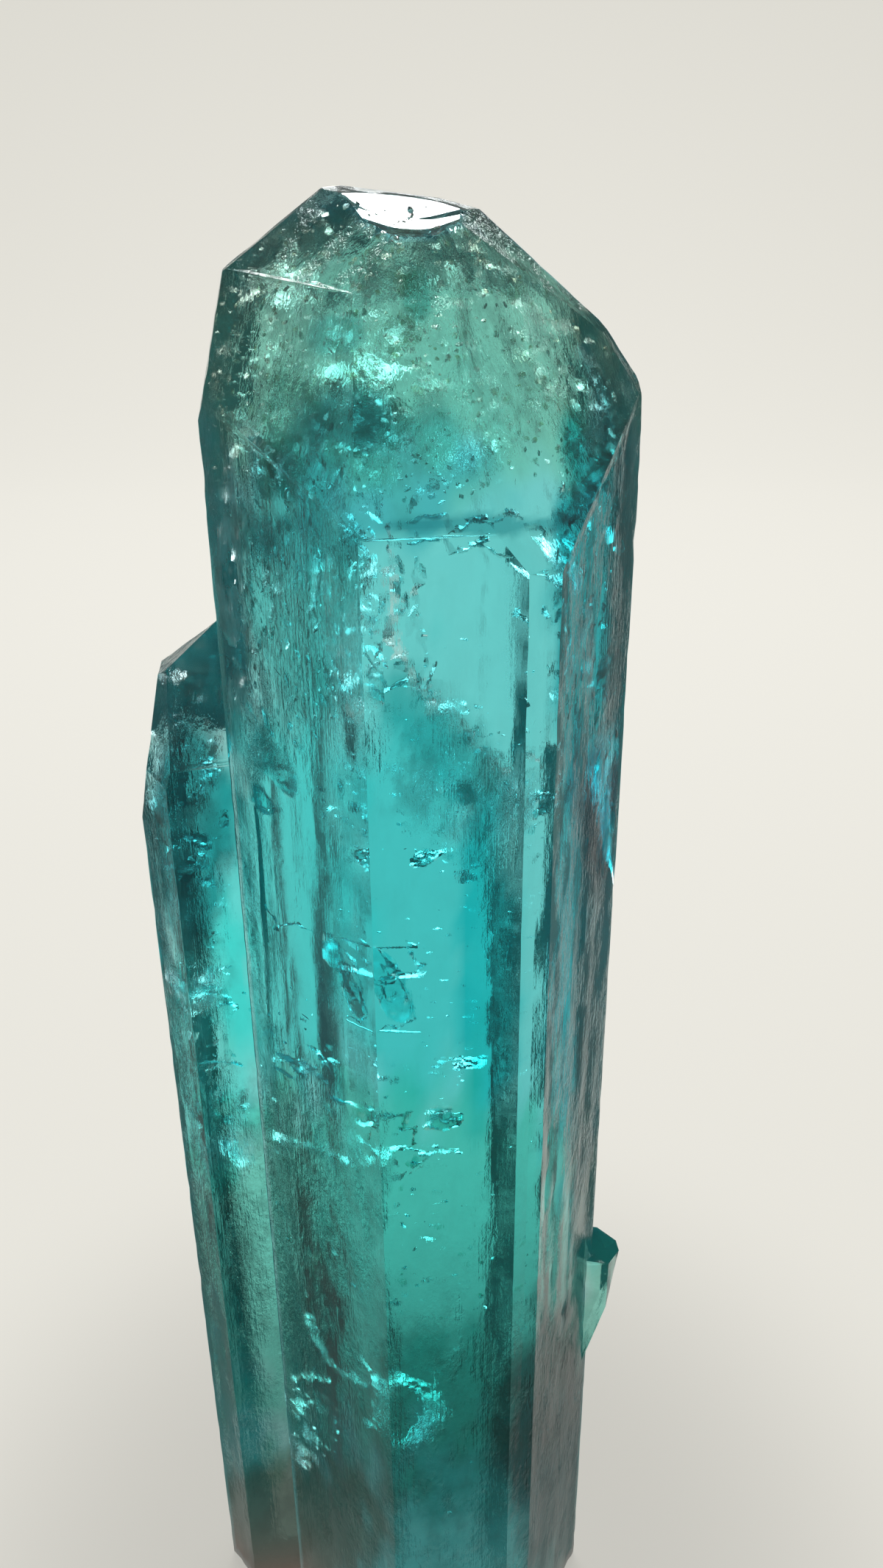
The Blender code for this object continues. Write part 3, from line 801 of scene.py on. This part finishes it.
def paint_zones(mesh):
    """Stores three values on the skin's points: the tint with painted shade in it, how dull they are and
    how strong their fine grain is. The zones apply to points that face the front. The back is etched high
    up and on its right flank, the scar and the flat top are rough, and the bite is clean."""
    count = len(mesh.vertices)
    points, normals = np.empty(count * 3), np.empty(count * 3)
    mesh.vertices.foreach_get("co", points)
    mesh.vertex_normals.foreach_get("vector", normals)
    points, normals = points.reshape(-1, 3) / MM, normals.reshape(-1, 3)
    place = picture_place(points)
    toward = np.clip((normals * (EYE - points)).sum(axis=1) * 0.2, 0, 1)
    tint_and_shade = np.ones((count, 4))
    for zone in TINT_AND_SHADE_ZONES:
        share = (zone_share(points, place, zone) * toward)[:, None]
        tint_and_shade[:, :3] *= 1 - share * (1 - np.array(zone[5]))
    tint_and_shade[:, :3] = tint_and_shade[:, :3] ** 2
    on_scar = off_side(points, SCAR_AZIMUTH, SCAR_DISTANCE) < 0.03
    dull, grain = SCAR_DULL * on_scar, np.where(on_scar, SCAR_GRAIN, PLAIN_GRAIN)
    behind = np.clip(np.clip(normals[:, 1] * 2, 0, 1) - toward, 0, 1)
    aloft = np.clip((points[:, 2] - BACK_ETCH_FROM) / 4, 0, 1) * behind
    flank = np.clip(normals[:, 0] * 2 - 0.9, 0, 1) * behind
    dull = np.maximum(dull, BACK_ETCH_DULL * aloft)
    grain = np.maximum(grain, np.maximum(aloft, FLANK_GRAIN * flank))
    hazy = (off_side(points, *HAZY_SIDE) < 0.12) & (points[:, 0] < HAZE_END)
    dull = np.where(hazy, HAZE_DULL, dull)
    for zone in ETCHED_ZONES:
        share = zone_share(points, place, zone) * toward
        dull = np.maximum(dull, share * zone[5])
        grain = np.maximum(grain, share * zone[6])
    tipped = (points - BITE_MIDDLE) @ np.array(Matrix.Rotation(BITE_RISE, 3, "X"))
    on_bite = np.abs(np.linalg.norm(tipped / BITE_RADII, axis=1) - 1) < 0.04
    dull, grain = np.where(on_bite, 0, dull), np.where(on_bite, 0, grain)
    tint_and_shade[on_bite] = 1
    on_top = (normals[:, 2] > 0.93) & (points[:, 2] > TOP_FROM) & ~on_bite
    dull, grain = np.where(on_top, TOP_DULL, dull), np.where(on_top, 1, grain)
    layers = [
        ("tint_and_shade", "FLOAT_COLOR", "color", tint_and_shade),
        ("dull", "FLOAT", "value", dull),
        ("grain", "FLOAT", "value", grain),
    ]
    for name, kind, field, values in layers:
        layer = mesh.attributes.new(name, kind, "POINT")
        layer.data.foreach_set(field, values.ravel().astype(np.float32))


def wired(material, operation, *inputs):
    """One maths node of a material, fed by sockets or plain numbers; gives its result."""
    node = material.node_tree.nodes.new("ShaderNodeMath")
    node.operation = operation
    for socket, value in zip(node.inputs, inputs):
        if isinstance(value, (int, float)):
            socket.default_value = value
        else:
            material.node_tree.links.new(value, socket)
    return node.outputs[0]


def wired_ramp(material, value, low, high, at_low, at_high):
    """A smooth step of a material's value from one level to another; gives its result."""
    node = material.node_tree.nodes.new("ShaderNodeMapRange")
    node.interpolation_type = "SMOOTHSTEP"
    for name, number in zip(("From Min", "From Max", "To Min", "To Max"), (low, high, at_low, at_high)):
        node.inputs[name].default_value = number
    material.node_tree.links.new(value, node.inputs["Value"])
    return node.outputs[0]


def wired_noise(material, pitch, stretch, detail):
    """Noise on the object's own coordinates, of a pitch in mm, longer along z by the stretch."""
    nodes, links = material.node_tree.nodes, material.node_tree.links
    where = nodes.new("ShaderNodeTexCoord")
    scale = nodes.new("ShaderNodeMapping")
    scale.inputs["Scale"].default_value = (1 / (pitch * MM), 1 / (pitch * MM), 1 / (pitch * stretch * MM))
    noise = nodes.new("ShaderNodeTexNoise")
    noise.inputs["Scale"].default_value = 1
    noise.inputs["Detail"].default_value = detail
    noise.inputs["Roughness"].default_value = 0.6
    links.new(where.outputs["Object"], scale.inputs[0])
    links.new(scale.outputs[0], noise.inputs["Vector"])
    return noise.outputs[0]


def stored(material, name, output="Fac"):
    """A value that paint_zones stored on the points."""
    node = material.node_tree.nodes.new("ShaderNodeAttribute")
    node.attribute_name = name
    return node.outputs[output]


def beryl():
    """Clear beryl. Colour = stored tint and painted shade x (1 - grain x clouds); roughness = polish +
    dullness x patches; the bump is upright striae and pits, as strong as grain x patches."""
    material = bpy.data.materials.new("aquamarine")
    material.use_nodes = True
    nodes, links = material.node_tree.nodes, material.node_tree.links
    shader = nodes["Principled BSDF"]
    shader.inputs["Transmission Weight"].default_value = 1
    shader.inputs["IOR"].default_value = BERYL_IOR
    grain = stored(material, "grain")
    cloud = wired_ramp(material, wired_noise(material, *CLOUDS), *CLOUD_RAMP)
    cloud = wired(material, "SUBTRACT", 1, wired(material, "MULTIPLY", cloud, grain))
    tint_and_shade = nodes.new("ShaderNodeVectorMath")
    tint_and_shade.operation = "SCALE"
    links.new(stored(material, "tint_and_shade", "Color"), tint_and_shade.inputs[0])
    links.new(cloud, tint_and_shade.inputs["Scale"])
    links.new(tint_and_shade.outputs[0], shader.inputs["Base Color"])
    patch = wired_ramp(material, wired_noise(material, *PATCHES), *PATCH_RAMP)
    rough = wired(material, "MULTIPLY", grain, patch)
    dull = wired(material, "MULTIPLY_ADD", stored(material, "dull"), patch, POLISH)
    links.new(dull, shader.inputs["Roughness"])
    pits = wired(material, "MULTIPLY", wired_noise(material, *PITS), PITS_PART)
    height = wired(material, "MULTIPLY_ADD", wired_noise(material, *STRIAE), STRIAE_PART, pits)
    bump = nodes.new("ShaderNodeBump")
    bump.inputs["Distance"].default_value = BUMP_HEIGHT
    links.new(rough, bump.inputs["Strength"])
    links.new(height, bump.inputs["Height"])
    links.new(bump.outputs[0], shader.inputs["Normal"])
    depth = nodes.new("ShaderNodeVolumeAbsorption")
    depth.inputs["Color"].default_value = (*BERYL_PASSES, 1)
    depth.inputs["Density"].default_value = BERYL_DENSITY
    links.new(depth.outputs[0], nodes["Material Output"].inputs["Volume"])
    return material


paint_zones(crystal_mesh)
crystal_mesh.materials.clear()
crystal_mesh.materials.append(beryl())
crystal_mesh.shade_smooth()
crystal_mesh.set_sharp_from_angle(angle=math.radians(11))

# The stand: a paper floor that curves up into a wall behind. Looked at directly it is pale. For all
# other rays it glows in a fan behind the crystal and is dim elsewhere.
SWEEP_FRONT, SWEEP_WALL, SWEEP_TOP, SWEEP_HALF, SWEEP_BEND = -260, 420, 420, 420, 150  # mm
GLOW_COLOUR = (0.88, 0.862, 0.79)
PAPER = (0.08, 0.078, 0.072)
PAPER_GLOW = (0.06, 0.76)  # strength beside the fan and in it
FAN_MIDDLE = 3  # mm to the right of the foot's middle
FAN_HALF, FAN_SPREAD = 17, 0.68  # half width in mm beside the crystal, and its growth per mm behind it
FAN_RIM = (0.98, 1.05)  # shares of the half width over which it fades out
FAN_START = (-25 * MM, -5 * MM)  # where it begins, in front of the foot's middle
WALL_FADE = (88 * MM, 108 * MM, 1, 0.1)  # heights over which the wall's own light fades, and its depth
FOOT_SHADE = (12 * MM, 52 * MM, 0.3, 1)  # distances over which the foot's own shade fades, and its depth
FOOT_SEEN = (0.6, 1)  # its depth when looked at directly


def sweep_mesh():
    """The floor's profile carried sideways: level, then a quarter circle, then upright."""
    bend = np.linspace(0, np.pi / 2, 24)
    run = np.concatenate([[SWEEP_FRONT], SWEEP_WALL - SWEEP_BEND * (1 - np.sin(bend)), [SWEEP_WALL]])
    rise = np.concatenate([[0], SWEEP_BEND * (1 - np.cos(bend)), [SWEEP_TOP]])
    points = [(x, y, z) for x in (-SWEEP_HALF, SWEEP_HALF) for y, z in zip(run, rise)]
    count = len(run)
    mesh = new_mesh("sweep", points, [(i, count + i, count + i + 1, i + 1) for i in range(count - 1)])
    mesh.shade_smooth()
    return mesh


def pale_paper():
    """Glow = fan x start x wall fade x foot shade, where the fan depends on the share of its half width
    that a point lies aside. Direct lines of sight see the full glow x the foot's seen shade."""
    material = bpy.data.materials.new("pale_paper")
    material.use_nodes = True
    nodes, links = material.node_tree.nodes, material.node_tree.links
    shader = nodes["Principled BSDF"]
    shader.inputs["Roughness"].default_value = 0.9
    shader.inputs["Base Color"].default_value = (*PAPER, 1)
    shader.inputs["Emission Color"].default_value = (*GLOW_COLOUR, 1)
    where = nodes.new("ShaderNodeTexCoord")
    split = nodes.new("ShaderNodeSeparateXYZ")
    links.new(where.outputs["Object"], split.inputs[0])
    aside = wired(material, "ABSOLUTE", wired(material, "SUBTRACT", split.outputs["X"], FAN_MIDDLE * MM))
    fan = wired(material, "MULTIPLY_ADD", split.outputs["Y"], FAN_SPREAD, FAN_HALF * MM)
    share = wired(material, "DIVIDE", aside, wired(material, "MAXIMUM", fan, 0.01))
    across = wired_ramp(material, share, *FAN_RIM, 1, 0)
    behind = wired_ramp(material, split.outputs["Y"], *FAN_START, 0, 1)
    away = nodes.new("ShaderNodeVectorMath")
    away.operation = "LENGTH"
    links.new(where.outputs["Object"], away.inputs[0])
    foot = wired_ramp(material, away.outputs["Value"], *FOOT_SHADE)
    level = wired_ramp(material, split.outputs["Z"], *WALL_FADE)
    spread = wired(material, "MULTIPLY", wired(material, "MULTIPLY", across, behind), level)
    lit = wired(material, "MULTIPLY", spread, foot)
    glow = wired_ramp(material, lit, 0, 1, *PAPER_GLOW)
    seen_foot = wired_ramp(material, foot, 0, 1, *FOOT_SEEN)
    direct = wired(material, "MULTIPLY", nodes.new("ShaderNodeLightPath").outputs["Is Camera Ray"], seen_foot)
    glow = wired(material, "MAXIMUM", glow, wired(material, "MULTIPLY", direct, PAPER_GLOW[1]))
    links.new(glow, shader.inputs["Emission Strength"])
    return material


sweep = add_object("sweep", sweep_mesh())
sweep.data.materials.append(pale_paper())

# The light: one broad soft light high behind the crystal, which the tip's scoop and the inner cracks
# mirror, and an even room around, pale when looked at directly and dim for all other rays.
LIGHT_PLACE = Vector((0, 240, 310)) * MM
LIGHT_AIM = Vector((0, 0, 40)) * MM
LIGHT_SIZE = (300 * MM, 270 * MM)
LIGHT_POWER = 2.3  # watts
ROOM_DIM, ROOM_PALE = 0.24, 0.8
ROOM_COLOUR = (1, 0.98, 0.9)

light_data = bpy.data.lights.new("back_light", "AREA")
light_data.shape = "RECTANGLE"
light_data.size, light_data.size_y = LIGHT_SIZE
light_data.energy = LIGHT_POWER
light = add_object("back_light", light_data)
light.location = LIGHT_PLACE
light.rotation_euler = (LIGHT_AIM - LIGHT_PLACE).to_track_quat("-Z", "Y").to_euler()

room = bpy.data.worlds.new("room")
room.use_nodes = True
shade = room.node_tree.nodes["Background"]
direct = room.node_tree.nodes.new("ShaderNodeLightPath")
strength = room.node_tree.nodes.new("ShaderNodeMapRange")
strength.inputs["To Min"].default_value = ROOM_DIM
strength.inputs["To Max"].default_value = ROOM_PALE
room.node_tree.links.new(direct.outputs["Is Camera Ray"], strength.inputs["Value"])
room.node_tree.links.new(strength.outputs[0], shade.inputs["Strength"])
shade.inputs["Color"].default_value = (*ROOM_COLOUR, 1)
bpy.context.scene.world = room

bpy.context.scene.view_settings.view_transform = "Standard"
cycles = bpy.context.scene.cycles
cycles.max_bounces = 32
cycles.transmission_bounces = 32
cycles.glossy_bounces = 16
cycles.transparent_max_bounces = 32
